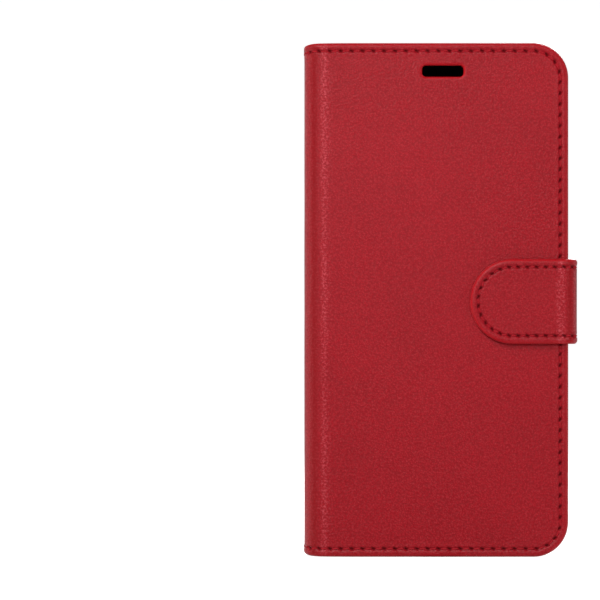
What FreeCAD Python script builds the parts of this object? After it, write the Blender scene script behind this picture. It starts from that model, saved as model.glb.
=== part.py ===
import FreeCAD, Part
import os

# A book-style phone wallet case, standing on its bottom edge.
# +Z is up along the phone, the front cover faces -Y, the spine is at -X and the
# closing strap is at +X. The origin is the centre of the underside of the whole case.

V = FreeCAD.Vector

# ---- driving dimensions (millimetres) ----------------------------------------
HEIGHT = 152.0             # of the covers
SPINE_FACE_X = -40.3       # outer face of the spine
STRAP_FACE_X = 40.3        # outer face of the closing strap
BACK_EDGE_X = 36.0         # opening edge of the back panel
FRONT_EDGE_X = 37.76       # opening edge of the front cover, which stands proud
BACK_FACE_Y = 10.1         # outer face of the back panel
FRONT_FACE_Y = -8.0        # outer face of the front cover
STRAP_FACE_Y = -10.1       # outer face of the strap where it lies on the cover
CORNER_R = 10.3            # corners on the opening side
FOLD_R = 5.0               # outside radius of the two spine folds
SPINE_DROP = 0.8           # how much shorter the spine is at each end

LEATHER = 0.9              # outer leather
BOARD = 0.8                # stiffening board
BOARD_GAP = 1.8            # boards stop this short of a fold, so that it can bend
LINING = 0.5               # leatherette lining
TURNED_EDGE = 1.0          # leather turned round the edge of the board
LINING_INSET = 0.5         # lining stops this far inside the edge
SEAM_INSET = 2.4           # edge of a panel to its line of stitches
THREAD_WIDTH = 0.5
THREAD_DEPTH = 0.3
GROOVE_SLACK = 0.05        # groove round the thread, each side and above it

CREASE_X = 1.84            # stand crease in the back panel
CREASE_WIDTH = 3.0

PHONE_WIDTH = 70.9         # a 5.8-inch phone
PHONE_HEIGHT = 143.6
PHONE_ROOM = 0.2           # total play of the phone in its tray
TRAY_WALL = 1.1
TRAY_FLOOR = 1.0
TRAY_DEPTH = 10.0
TRAY_CORNER_R = 10.5
TRAY_BACK_R = 3.5          # rounded back edge of the tray
TRAY_LIP = 1.0             # how far the front lip reaches over the glass
TRAY_LIP_DEPTH = 1.1
TRAY_LEFT_X = -37.7
TRAY_BOTTOM_Z = 3.0
PORT_WIDTH = 44.0          # opening in the tray's bottom edge
PORT_Y = (0.2, 5.8)
KEYS_Y = (1.0, 4.6)        # slots in the tray's sides for the phone's keys
VOLUME_KEYS_Z = (98.0, 124.0)
POWER_KEY_Z = (104.0, 118.0)
CUT_PAST = 0.5             # openings cut this far past the tray's wall
GLUE = 0.3
GLUE_INSET = 5.0

CAMERA_X, CAMERA_Z = 21.5, 131.3             # camera window in the leather
CAMERA_WIDTH, CAMERA_HEIGHT = 15.1, 28.4
TRAY_CAMERA_X = 22.1                         # window in the tray sits off centre
TRAY_CAMERA_WIDTH, TRAY_CAMERA_HEIGHT = 13.1, 26.4

EAR_X, EAR_Z = 0.65, 143.7                   # earpiece slot in the front cover
EAR_WIDTH, EAR_HEIGHT = 12.4, 3.55

POCKET_LEFT_X, POCKET_RIGHT_X = -27.0, 34.0  # card pockets, open at the top
POCKET_BOTTOM_Z = 6.0
POCKET_TOPS = (105.0, 91.0, 77.0)
CASH_TOP_Z = 119.0
CASH_LEFT_X = -31.0
POCKET_SHEET = 0.5
POCKET_R = 4.0
POCKET_SEAM_INSET = 1.6

STRAP_Z = 75.55            # middle of the strap
STRAP_HEIGHT = 25.1
STRAP_TIP_X = 8.64
STRAP_LEATHER = 1.0
STRAP_LINING = 0.8
STRAP_BACK_R = 2.5         # middle of the strap's thickness, round the back edge
STRAP_FRONT_R = 1.9        # and round the front edge
ANCHOR_DEPTH = 12.0        # strap end glued inside the back panel
ANCHOR_INSET = 1.0         # that end is narrower than the strap by this at each side
EDGE_GAP = 0.1

MAGNET_R = 6.0
MAGNET_X = STRAP_TIP_X + STRAP_HEIGHT / 2
STRAP_MAGNET = 0.6

# ---- levels worked out from the driving dimensions ----------------------------
PANEL = LEATHER + BOARD + LINING
BACK_LEATHER_Y = BACK_FACE_Y - LEATHER
BACK_BOARD_Y = BACK_LEATHER_Y - BOARD
BACK_INNER_Y = BACK_FACE_Y - PANEL
FRONT_LEATHER_Y = FRONT_FACE_Y + LEATHER
FRONT_BOARD_Y = FRONT_LEATHER_Y + BOARD
FRONT_INNER_Y = FRONT_FACE_Y + PANEL
SPINE_LEATHER_X = SPINE_FACE_X + LEATHER
SPINE_BOARD_X = SPINE_LEATHER_X + BOARD
SPINE_INNER_X = SPINE_FACE_X + PANEL
FOLD_X = SPINE_FACE_X + FOLD_R
BACK_FOLD_Y = BACK_FACE_Y - FOLD_R
FRONT_FOLD_Y = FRONT_FACE_Y + FOLD_R
CREASE_LEFT_X = CREASE_X - CREASE_WIDTH / 2
CREASE_RIGHT_X = CREASE_X + CREASE_WIDTH / 2
TRAY_WIDTH = PHONE_WIDTH + PHONE_ROOM + 2 * TRAY_WALL
TRAY_HEIGHT = PHONE_HEIGHT + PHONE_ROOM + 2 * TRAY_WALL
TRAY_BACK_Y = BACK_INNER_Y - GLUE
TRAY_FRONT_Y = TRAY_BACK_Y - TRAY_DEPTH
STRAP = STRAP_LEATHER + STRAP_LINING
STRAP_LOW_Z = STRAP_Z - STRAP_HEIGHT / 2
STRAP_HIGH_Z = STRAP_Z + STRAP_HEIGHT / 2
STRAP_SIDE_X = STRAP_FACE_X - STRAP / 2
STRAP_EXIT_Y = BACK_INNER_Y + STRAP / 2
STRAP_FLAP_Y = STRAP_FACE_Y + STRAP / 2
STRAP_BACK_CENTRE = (STRAP_SIDE_X - STRAP_BACK_R, STRAP_EXIT_Y - STRAP_BACK_R)
STRAP_FRONT_CENTRE = (STRAP_SIDE_X - STRAP_FRONT_R, STRAP_FLAP_Y + STRAP_FRONT_R)


# ---- shapes ---------------------------------------------------------------------
def block(x, y, z):
    """A box between pairs of limits."""
    size = [limits[1] - limits[0] for limits in (x, y, z)]
    return Part.makeBox(*size, V(x[0], y[0], z[0]))


def slab(x, z, y, left_r=0.0, right_r=0.0):
    """A flat piece in XZ with rounded left and right corners, between two Y limits."""
    outline = block(x, y, z)
    for radius, edge_x in ((left_r, x[0]), (right_r, x[1])):
        if radius:
            corners = [
                e for e in outline.Edges
                if abs(e.Length - abs(y[1] - y[0])) < 1e-6
                and all(abs(v.X - edge_x) < 1e-6 for v in e.Vertexes)
                and abs(e.Vertexes[0].Y - e.Vertexes[1].Y) > 1e-6
            ]
            outline = outline.makeFillet(radius, corners)
    return outline


def pill(centre_x, centre_z, width, height, y):
    """A slot with fully rounded ends, cut through between two Y limits."""
    radius = min(width, height) / 2 - 0.001
    x = (centre_x - width / 2, centre_x + width / 2)
    z = (centre_z - height / 2, centre_z + height / 2)
    return slab(x, z, y, radius, radius)


def disc(centre_x, centre_z, radius, y):
    return Part.makeCylinder(radius, y[1] - y[0], V(centre_x, y[0], centre_z), V(0, 1, 0))


def bent_strip(centre, inner_r, outer_r, start_deg, z):
    """A quarter of a tube about a vertical line: sheet going round a fold."""
    ring = Part.makeCylinder(outer_r, z[1] - z[0], V(*centre, z[0]), V(0, 0, 1), 90)
    hole = Part.makeCylinder(inner_r, z[1] - z[0], V(*centre, z[0]), V(0, 0, 1), 90)
    strip = ring.cut(hole)
    strip.rotate(V(*centre, 0), V(0, 0, 1), start_deg)
    return strip


def band(x, z, y, inset, width, corner_r):
    """A strip of one width, a set distance inside a panel's edge."""
    rings = []
    for distance in (inset - width / 2, inset + width / 2):
        rings.append(slab(
            (x[0] + distance, x[1] - distance), (z[0] + distance, z[1] - distance),
            y, 0.0, corner_r - distance,
        ))
    return rings[0].cut(rings[1])


def save(name, shape):
    shape.exportStep(f"parts/{name}.step")


# ---- covers ---------------------------------------------------------------------
def seam_pair(edge_x, face_y, into):
    """The line of thread of a cover and the groove it lies in, open on the spine side."""
    x = (SPINE_FACE_X - CORNER_R, edge_x)
    z = (0, HEIGHT)
    thread_y = sorted((face_y + into * GROOVE_SLACK, face_y + into * (GROOVE_SLACK + THREAD_DEPTH)))
    groove_y = sorted((face_y, face_y + into * (2 * GROOVE_SLACK + THREAD_DEPTH)))
    thread = band(x, z, thread_y, SEAM_INSET, THREAD_WIDTH, CORNER_R)
    groove = band(x, z, groove_y, SEAM_INSET, THREAD_WIDTH + 2 * GROOVE_SLACK, CORNER_R)
    return thread, groove


def leather_pan(x, face_y, into, right_r, ends_closed):
    """Outer leather with its edge turned in round the board: face plus a low rim."""
    face = slab(x, (0, HEIGHT), sorted((face_y, face_y + into * (LEATHER + BOARD))), 0, right_r)
    right = x[1] - (TURNED_EDGE if ends_closed else -TURNED_EDGE)
    room = slab(
        (x[0] - TURNED_EDGE, right), (TURNED_EDGE, HEIGHT - TURNED_EDGE),
        sorted((face_y + into * LEATHER, face_y + into * (LEATHER + BOARD))),
        0, max(right_r - TURNED_EDGE, 0),
    )
    return face.cut(room)


def make_back_camera_side():
    """Back panel from the stand crease to the opening edge: the phone tray is glued here."""
    x = (CREASE_RIGHT_X, BACK_EDGE_X)
    through = (BACK_INNER_Y - 1, BACK_FACE_Y + 1)
    window = pill(CAMERA_X, CAMERA_Z, CAMERA_WIDTH, CAMERA_HEIGHT, through)
    strap_z = (STRAP_LOW_Z + ANCHOR_INSET, STRAP_HIGH_Z - ANCHOR_INSET)
    strap_room = block((BACK_EDGE_X - ANCHOR_DEPTH, BACK_EDGE_X + 1), (BACK_BOARD_Y, BACK_LEATHER_Y), strap_z)
    thread, groove = seam_pair(BACK_EDGE_X, BACK_FACE_Y, -1)

    skin = leather_pan(x, BACK_FACE_Y, -1, CORNER_R, True).cut(window).cut(strap_room).cut(groove)
    save("back_leather_camera_side", skin)

    board = slab(
        (x[0], x[1] - TURNED_EDGE), (TURNED_EDGE, HEIGHT - TURNED_EDGE),
        (BACK_BOARD_Y, BACK_LEATHER_Y), 0, CORNER_R - TURNED_EDGE,
    )
    save("back_board_camera_side", board.cut(window).cut(strap_room))

    lining = slab(
        (x[0], x[1] - LINING_INSET), (LINING_INSET, HEIGHT - LINING_INSET),
        (BACK_INNER_Y, BACK_BOARD_Y), 0, CORNER_R - LINING_INSET,
    )
    save("back_lining_camera_side", lining.cut(window))

    right_half = block((x[0], STRAP_FACE_X), through, (0, HEIGHT))
    save("back_thread_camera_side", thread.common(right_half))

    anchor = block(
        (BACK_EDGE_X - ANCHOR_DEPTH, BACK_EDGE_X), (BACK_BOARD_Y, BACK_LEATHER_Y), strap_z
    )
    save("strap_anchor_tongue", anchor)


def make_back_spine_side():
    """Back panel from the spine fold to the stand crease: free of the tray."""
    x = (FOLD_X, CREASE_LEFT_X)
    thread, groove = seam_pair(BACK_EDGE_X, BACK_FACE_Y, -1)
    save("back_leather_spine_side", leather_pan(x, BACK_FACE_Y, -1, 0, False).cut(groove))

    board_x = (x[0] + BOARD_GAP, x[1])
    board_z = (TURNED_EDGE, HEIGHT - TURNED_EDGE)
    save("back_board_spine_side", slab(board_x, board_z, (BACK_BOARD_Y, BACK_LEATHER_Y)))

    lining_z = (LINING_INSET, HEIGHT - LINING_INSET)
    save("back_lining_spine_side", slab(x, lining_z, (BACK_INNER_Y, BACK_BOARD_Y)))

    left_half = block(x, (0, BACK_FACE_Y + 1), (0, HEIGHT))
    save("back_thread_spine_side", thread.common(left_half))


def make_crease():
    """The stand crease: leather and lining with no board between them."""
    x = (CREASE_LEFT_X, CREASE_RIGHT_X)
    z = (SPINE_DROP, HEIGHT - SPINE_DROP)
    save("crease_leather", slab(x, z, (BACK_LEATHER_Y, BACK_FACE_Y)))
    save("crease_lining", slab(x, z, (BACK_INNER_Y, BACK_BOARD_Y)))


def make_spine():
    """The spine panel and the two rounded folds that carry it."""
    y = (FRONT_FOLD_Y, BACK_FOLD_Y)
    z = (SPINE_DROP, HEIGHT - SPINE_DROP)
    save("spine_leather", block((SPINE_FACE_X, SPINE_LEATHER_X), y, z))
    board_y = (y[0] + BOARD_GAP, y[1] - BOARD_GAP)
    board_z = (z[0] + TURNED_EDGE, z[1] - TURNED_EDGE)
    save("spine_board", block((SPINE_LEATHER_X, SPINE_BOARD_X), board_y, board_z))
    save("spine_lining", block((SPINE_BOARD_X, SPINE_INNER_X), y, z))
    for name, centre_y, start in (("back", BACK_FOLD_Y, 90), ("front", FRONT_FOLD_Y, 180)):
        centre = (FOLD_X, centre_y)
        save(f"{name}_fold_leather", bent_strip(centre, FOLD_R - LEATHER, FOLD_R, start, z))
        lining_r = FOLD_R - PANEL
        save(f"{name}_fold_lining", bent_strip(centre, lining_r, lining_r + LINING, start, z))


def make_front_cover():
    """Front cover with its earpiece slot and the magnet under the strap's tip."""
    x = (FOLD_X, FRONT_EDGE_X)
    through = (FRONT_FACE_Y - 1, FRONT_INNER_Y + 1)
    slot = slab(
        (EAR_X - EAR_WIDTH / 2, EAR_X + EAR_WIDTH / 2), (EAR_Z - EAR_HEIGHT / 2, EAR_Z + EAR_HEIGHT / 2),
        through, EAR_HEIGHT / 3, EAR_HEIGHT / 3,
    )
    thread, groove = seam_pair(FRONT_EDGE_X, FRONT_FACE_Y, 1)
    save("front_leather", leather_pan(x, FRONT_FACE_Y, 1, CORNER_R, True).cut(slot).cut(groove))

    board_y = (FRONT_LEATHER_Y, FRONT_BOARD_Y)
    board = slab(
        (x[0] + BOARD_GAP, x[1] - TURNED_EDGE), (TURNED_EDGE, HEIGHT - TURNED_EDGE),
        board_y, 0, CORNER_R - TURNED_EDGE,
    )
    magnet = disc(MAGNET_X, STRAP_Z, MAGNET_R, board_y)
    save("front_board", board.cut(slot).cut(magnet))
    save("front_magnet", magnet)

    lining = slab(
        (x[0], x[1] - LINING_INSET), (LINING_INSET, HEIGHT - LINING_INSET),
        (FRONT_BOARD_Y, FRONT_INNER_Y), 0, CORNER_R - LINING_INSET,
    )
    save("front_lining", lining.cut(slot))

    cover = block((x[0], STRAP_FACE_X), through, (0, HEIGHT))
    save("front_thread", thread.common(cover))


def make_pockets():
    """A cash pocket open at the side with three card pockets on top of it."""
    bottom = FRONT_INNER_Y
    cash = slab(
        (CASH_LEFT_X, POCKET_RIGHT_X), (POCKET_BOTTOM_Z, CASH_TOP_Z),
        (bottom, bottom + POCKET_SHEET), 0, POCKET_R,
    )
    save("cash_pocket_panel", cash)

    seam_side = POCKET_LEFT_X + POCKET_SEAM_INSET
    for number, top in enumerate(POCKET_TOPS, start=1):
        bottom += POCKET_SHEET
        x = (POCKET_LEFT_X, POCKET_RIGHT_X)
        pocket = slab(x, (POCKET_BOTTOM_Z, top), (bottom, bottom + POCKET_SHEET))
        save(f"card_pocket_{number}", pocket)

    front_y = bottom + POCKET_SHEET
    z = (POCKET_BOTTOM_Z + POCKET_SEAM_INSET, POCKET_TOPS[-1])
    columns = [
        block((centre - THREAD_WIDTH / 2, centre + THREAD_WIDTH / 2), (front_y, front_y + THREAD_DEPTH), z)
        for centre in (seam_side, POCKET_RIGHT_X - POCKET_SEAM_INSET)
    ]
    row = block(
        (seam_side, POCKET_RIGHT_X - POCKET_SEAM_INSET), (front_y, front_y + THREAD_DEPTH),
        (z[0] - THREAD_WIDTH / 2, z[0] + THREAD_WIDTH / 2),
    )
    save("pocket_thread", row.fuse(columns).removeSplitter())


# ---- phone tray -----------------------------------------------------------------
def rounded_tub(x, z, y, corner_r, back_r):
    """A slab with rounded corners whose back edge is rounded too."""
    tub = slab(x, z, y, corner_r, corner_r)
    back_edges = [e for e in tub.Edges if all(abs(v.Y - y[1]) < 1e-6 for v in e.Vertexes)]
    return tub.makeFillet(back_r, back_edges)


def make_tray():
    """Moulded soft tray that grips the phone, and the pad that glues it to the back."""
    x = (TRAY_LEFT_X, TRAY_LEFT_X + TRAY_WIDTH)
    z = (TRAY_BOTTOM_Z, TRAY_BOTTOM_Z + TRAY_HEIGHT)
    shell = rounded_tub(x, z, (TRAY_FRONT_Y, TRAY_BACK_Y), TRAY_CORNER_R, TRAY_BACK_R)
    phone_x = (x[0] + TRAY_WALL, x[1] - TRAY_WALL)
    phone_z = (z[0] + TRAY_WALL, z[1] - TRAY_WALL)
    phone_room = rounded_tub(
        phone_x, phone_z, (TRAY_FRONT_Y + TRAY_LIP_DEPTH, TRAY_BACK_Y - TRAY_FLOOR),
        TRAY_CORNER_R - TRAY_WALL, TRAY_BACK_R - TRAY_WALL,
    )
    mouth = slab(
        (phone_x[0] + TRAY_LIP, phone_x[1] - TRAY_LIP), (phone_z[0] + TRAY_LIP, phone_z[1] - TRAY_LIP),
        (TRAY_FRONT_Y - 1, TRAY_FRONT_Y + TRAY_LIP_DEPTH + 1),
        TRAY_CORNER_R - TRAY_WALL - TRAY_LIP, TRAY_CORNER_R - TRAY_WALL - TRAY_LIP,
    )
    window = pill(
        TRAY_CAMERA_X, CAMERA_Z, TRAY_CAMERA_WIDTH, TRAY_CAMERA_HEIGHT, (TRAY_BACK_Y - 3, BACK_FACE_Y)
    )
    middle_x = (x[0] + x[1]) / 2
    wall = TRAY_WALL + CUT_PAST
    port_x = (middle_x - PORT_WIDTH / 2, middle_x + PORT_WIDTH / 2)
    port = block(port_x, PORT_Y, (z[0] - CUT_PAST, z[0] + wall))
    volume_keys = block((x[0] - CUT_PAST, x[0] + wall), KEYS_Y, VOLUME_KEYS_Z)
    power_key = block((x[1] - wall, x[1] + CUT_PAST), KEYS_Y, POWER_KEY_Z)
    tray = shell.cut([phone_room, mouth, window, port, volume_keys, power_key])
    save("phone_tray", tray)

    pad = slab(
        (CREASE_RIGHT_X + 1, x[1] - GLUE_INSET), (z[0] + GLUE_INSET, z[1] - GLUE_INSET),
        (TRAY_BACK_Y, BACK_INNER_Y), 0, TRAY_CORNER_R - GLUE_INSET,
    )
    pad_window = pill(CAMERA_X, CAMERA_Z, CAMERA_WIDTH + 2, CAMERA_HEIGHT + 2, (TRAY_BACK_Y - 1, BACK_FACE_Y))
    save("tray_glue_pad", pad.cut(pad_window))


# ---- closing strap --------------------------------------------------------------
def make_strap():
    """Strap from the back panel's edge round the side to the magnet on the cover."""
    z = (STRAP_LOW_Z, STRAP_HIGH_Z)
    base = bent_strip(STRAP_BACK_CENTRE, STRAP_BACK_R - STRAP / 2, STRAP_BACK_R + STRAP / 2, 0, z)
    lead = block(
        (BACK_EDGE_X + EDGE_GAP, STRAP_BACK_CENTRE[0]),
        (STRAP_EXIT_Y - STRAP / 2, STRAP_EXIT_Y + STRAP / 2), z,
    )
    save("strap_base_fold", base.fuse(lead).removeSplitter())

    side_y = (STRAP_FRONT_CENTRE[1], STRAP_BACK_CENTRE[1])
    meeting_x = STRAP_FACE_X - STRAP_LEATHER
    save("strap_side_leather", block((meeting_x, STRAP_FACE_X), side_y, z))
    save("strap_side_lining", block((meeting_x - STRAP_LINING, meeting_x), side_y, z))

    front = bent_strip(STRAP_FRONT_CENTRE, STRAP_FRONT_R - STRAP / 2, STRAP_FRONT_R + STRAP / 2, 270, z)
    save("strap_front_fold", front)

    flap_x = (STRAP_TIP_X, STRAP_FRONT_CENTRE[0])
    tip_r = STRAP_HEIGHT / 2 - 0.001
    meeting_y = STRAP_FACE_Y + STRAP_LEATHER
    thread_y = (STRAP_FACE_Y + GROOVE_SLACK, STRAP_FACE_Y + GROOVE_SLACK + THREAD_DEPTH)
    seams = []
    for y, width in (
        (thread_y, THREAD_WIDTH),
        ((STRAP_FACE_Y, thread_y[1] + GROOVE_SLACK), THREAD_WIDTH + 2 * GROOVE_SLACK),
    ):
        rings = []
        for inset in (SEAM_INSET - width / 2, SEAM_INSET + width / 2):
            rings.append(slab(
                (flap_x[0] + inset, STRAP_FACE_X), (z[0] + inset, z[1] - inset), y, tip_r - inset, 0
            ))
        seams.append(rings[0].cut(rings[1]))
    flap = block(flap_x, (STRAP_FACE_Y, FRONT_FACE_Y), z)
    leather = slab(flap_x, z, (STRAP_FACE_Y, meeting_y), tip_r, 0)
    save("strap_flap_leather", leather.cut(seams[1]))
    save("strap_thread", seams[0].common(flap))

    magnet = disc(MAGNET_X, STRAP_Z, MAGNET_R, (meeting_y, meeting_y + STRAP_MAGNET))
    lining = slab(flap_x, z, (meeting_y, meeting_y + STRAP_LINING), tip_r, 0)
    save("strap_flap_lining", lining.cut(magnet))
    save("strap_magnet", magnet)


os.makedirs("parts", exist_ok=True)
make_back_camera_side()
make_back_spine_side()
make_crease()
make_spine()
make_front_cover()
make_pockets()
make_tray()
make_strap()
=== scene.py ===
"""The looks of a red leather phone wallet case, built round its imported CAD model.

Leather and lining are sheets worked out flat, as they are cut: s runs along the cross-section from one
edge, z runs up the case and h stands out of the sheet. A Section then bends them round the spine or the
strap's folds. Lengths in this script are millimetres until a mesh is made.
"""
import math

import bmesh
import bpy
import numpy as np
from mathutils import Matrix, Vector, geometry, noise


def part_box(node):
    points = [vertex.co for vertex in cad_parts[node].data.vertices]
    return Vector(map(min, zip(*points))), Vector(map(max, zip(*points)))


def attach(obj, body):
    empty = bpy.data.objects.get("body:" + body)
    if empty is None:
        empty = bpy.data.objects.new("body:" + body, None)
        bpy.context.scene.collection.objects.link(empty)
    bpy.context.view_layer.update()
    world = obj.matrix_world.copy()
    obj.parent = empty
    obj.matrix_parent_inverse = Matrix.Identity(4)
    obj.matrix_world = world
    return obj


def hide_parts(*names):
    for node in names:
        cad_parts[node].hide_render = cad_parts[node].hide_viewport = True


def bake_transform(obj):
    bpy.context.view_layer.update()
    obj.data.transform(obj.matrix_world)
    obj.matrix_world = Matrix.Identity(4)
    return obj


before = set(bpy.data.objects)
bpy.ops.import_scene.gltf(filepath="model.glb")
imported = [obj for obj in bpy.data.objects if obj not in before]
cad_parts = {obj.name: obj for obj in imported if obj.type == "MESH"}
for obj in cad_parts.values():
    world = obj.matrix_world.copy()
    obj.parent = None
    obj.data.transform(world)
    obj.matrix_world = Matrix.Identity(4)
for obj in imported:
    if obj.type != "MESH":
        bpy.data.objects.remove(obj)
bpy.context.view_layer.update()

MM = 0.001


def extent(node):
    """A CAD node's lowest and highest corner, in millimetres."""
    low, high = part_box(node)
    return np.array(low) / MM, np.array(high) / MM


# ---- sizes, from the frame ----
spine_low, spine_high = extent("spine_leather")
_, back_high = extent("back_leather_camera_side")
front_low, front_high = extent("front_leather")
flap_low, flap_high = extent("strap_flap_leather")
_, flap_lining_high = extent("strap_flap_lining")
side_low, side_high = extent("strap_side_leather")
_, base_high = extent("strap_base_fold")
crease_low, crease_high = extent("crease_leather")

HEIGHT = front_high[2]
FOLD_R = back_high[1] - spine_high[1]
FOLD_X = spine_low[0] + FOLD_R
CREASE_X = (crease_low[0] + crease_high[0]) / 2
CORNER_R = 10.3
PANEL = 2.2
SPINE_DROP = 0.6            # how far the ends of the spine sit below the ends of the covers
CREASE_DROP = 0.35          # and the ends of the stand crease
SPLIT_PAST_CREASE = 18.0    # from the crease to where two sheets of back leather meet

# places along the covers' cross-section, from the back panel's opening edge
S_BACK_FOLD = back_high[0] - FOLD_X
S_SPINE = S_BACK_FOLD + FOLD_R * math.pi / 2
S_FRONT_FOLD = S_SPINE + spine_high[1] - spine_low[1]
S_FRONT = S_FRONT_FOLD + FOLD_R * math.pi / 2
S_END = S_FRONT + front_high[0] - FOLD_X
S_CREASE = back_high[0] - CREASE_X
S_BACK_SPLIT = S_CREASE + SPLIT_PAST_CREASE
S_SPINE_SPLIT = (S_SPINE + S_FRONT_FOLD) / 2

SEAM = 2.4                  # line of stitches, from the edge
STITCH = 3.2                # from one needle hole to the next
STRAP_STITCH = 2.75
THREAD_R = 0.23
HOLE_REACH = 0.46           # bare length of needle hole to each side of its middle

# the strap's cross-section, from the tip of the flap
STRAP = flap_lining_high[1] - flap_low[1]
STRAP_FRONT_R = side_low[1] - flap_low[1]
STRAP_BACK_R = base_high[1] - side_high[1]
FLAP_LENGTH = flap_high[0] - flap_low[0]
SIDE_LENGTH = side_high[1] - side_low[1]
STRAP_LEAD = 1.4            # straight run from the strap's last fold into the back panel
S_STRAP_FRONT = FLAP_LENGTH
S_STRAP_SIDE = S_STRAP_FRONT + STRAP_FRONT_R * math.pi / 2
S_STRAP_BACK = S_STRAP_SIDE + SIDE_LENGTH
S_STRAP_EXIT = S_STRAP_BACK + STRAP_BACK_R * math.pi / 2
S_STRAP_END = S_STRAP_EXIT + STRAP_LEAD
S_STRAP_SPLIT = (S_STRAP_SIDE + S_STRAP_BACK) / 2


# ---- cross-sections ----
class Section:
    """A line in plan made of straight runs and left turns. Its outside is on the right."""

    def __init__(self, start, heading, runs):
        self.pieces = []
        x, y = start
        s = 0.0
        for kind, amount, radius in runs:
            length = amount if kind == "line" else radius * amount
            self.pieces.append((s, x, y, heading, kind, radius))
            if kind == "line":
                x += math.cos(heading) * length
                y += math.sin(heading) * length
            else:
                x += radius * (math.sin(heading + amount) - math.sin(heading))
                y -= radius * (math.cos(heading + amount) - math.cos(heading))
                heading += amount
            s += length

    def place(self, flat):
        """Points (s, z, h) of the flat sheet as points of the row frame."""
        s, z, h = flat[:, 0], flat[:, 1], flat[:, 2]
        x, y, heading = np.zeros_like(s), np.zeros_like(s), np.zeros_like(s)
        for number, (begin, x0, y0, angle, kind, radius) in enumerate(self.pieces):
            here = s >= begin if number else np.ones(len(s), bool)
            along = s[here] - begin
            if kind == "line":
                x[here] = x0 + math.cos(angle) * along
                y[here] = y0 + math.sin(angle) * along
                heading[here] = angle
            else:
                turned = angle + along / radius
                x[here] = x0 + radius * (np.sin(turned) - math.sin(angle))
                y[here] = y0 - radius * (np.cos(turned) - math.cos(angle))
                heading[here] = turned
        return np.column_stack([x + np.sin(heading) * h, y - np.cos(heading) * h, z])


QUARTER = math.pi / 2
covers = Section((back_high[0], back_high[1]), math.pi, [
    ("line", S_BACK_FOLD, 0), ("turn", QUARTER, FOLD_R), ("line", S_FRONT_FOLD - S_SPINE, 0),
    ("turn", QUARTER, FOLD_R), ("line", S_END - S_FRONT, 0),
])
strap = Section((flap_low[0], flap_low[1]), 0.0, [
    ("line", FLAP_LENGTH, 0), ("turn", QUARTER, STRAP_FRONT_R), ("line", SIDE_LENGTH, 0),
    ("turn", QUARTER, STRAP_BACK_R), ("line", STRAP_LEAD, 0),
])


# ---- outlines ----
class Edge:
    """Stations along one free edge: where they are, the way inwards, and the run along the seam."""

    def __init__(self, points, inwards, run, length, closed):
        self.points, self.inwards = points, inwards
        self.run, self.length, self.closed = run, length, closed

    def at(self, distance):
        return self.points + self.inwards * distance


STATION = 0.26              # spacing of stations along an edge
SHORTEST = 1e-6             # a leg shorter than this is left out


def walk(legs, seam, closed=False):
    """An edge from legs: ("line", start, end) or ("arc", centre, radius, from_angle, to_angle)."""
    points, inwards, runs = [], [], []
    run = 0.0
    for leg in legs:
        if leg[0] == "line":
            start, end = np.array(leg[1], float), np.array(leg[2], float)
            length = np.linalg.norm(end - start)
            if length < SHORTEST:
                continue
            count = max(2, int(length / STATION))
            along = (end - start) / length
            t = np.linspace(0, 1, count, endpoint=False)
            points.append(start + np.outer(t, end - start))
            inwards.append(np.tile([along[1], -along[0]], (count, 1)))
            runs.append(run + t * length)
            run += length
        else:
            centre, radius, first, last = np.array(leg[1], float), leg[2], leg[3], leg[4]
            count = max(6, int(abs(last - first) * radius / STATION))
            t = np.linspace(0, 1, count, endpoint=False)
            angle = first + t * (last - first)
            out = np.column_stack([np.cos(angle), np.sin(angle)])
            points.append(centre + radius * out)
            inwards.append(-out)
            length = abs(last - first) * (radius - seam)
            runs.append(run + t * length)
            run += length
    if not closed:
        last = legs[-1]
        end = np.array(last[2], float)[None]
        points.append(end)
        inwards.append(inwards[-1][-1:])
        runs.append(np.array([run]))
    return Edge(np.vstack(points), np.vstack(inwards), np.concatenate(runs), run, closed)


def panel_edges(s, z, radius, left, right, seam):
    """The free edges of a panel: left and right say whether those ends are free or cut."""
    (s0, s1), (z0, z1) = s, z
    r = radius
    left_legs = [
        ("arc", (s0 + r, z0 + r), r, -QUARTER, -2 * QUARTER),
        ("line", (s0, z0 + r), (s0, z1 - r)),
        ("arc", (s0 + r, z1 - r), r, 2 * QUARTER, QUARTER),
    ]
    right_legs = [
        ("arc", (s1 - r, z1 - r), r, QUARTER, 0),
        ("line", (s1, z1 - r), (s1, z0 + r)),
        ("arc", (s1 - r, z0 + r), r, 0, -QUARTER),
    ]
    if left and right:
        top = [("line", (s0 + r, z1), (s1 - r, z1))]
        bottom = [("line", (s1 - r, z0), (s0 + r, z0))]
        return [walk(left_legs + top + right_legs + bottom, seam, closed=True)]
    if left:
        ends = [("line", (s1, z0), (s0 + r, z0))], [("line", (s0 + r, z1), (s1, z1))]
        return [walk(ends[0] + left_legs + ends[1], seam)]
    if right:
        ends = [("line", (s0, z1), (s1 - r, z1))], [("line", (s1 - r, z0), (s0, z0))]
        return [walk(ends[0] + right_legs + ends[1], seam)]
    return [walk([("line", (s1, z0), (s0, z0))], seam), walk([("line", (s0, z1), (s1, z1))], seam)]


STRAIGHT_LEAST = 0.01       # straights of an opening shorter than this are left out


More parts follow.
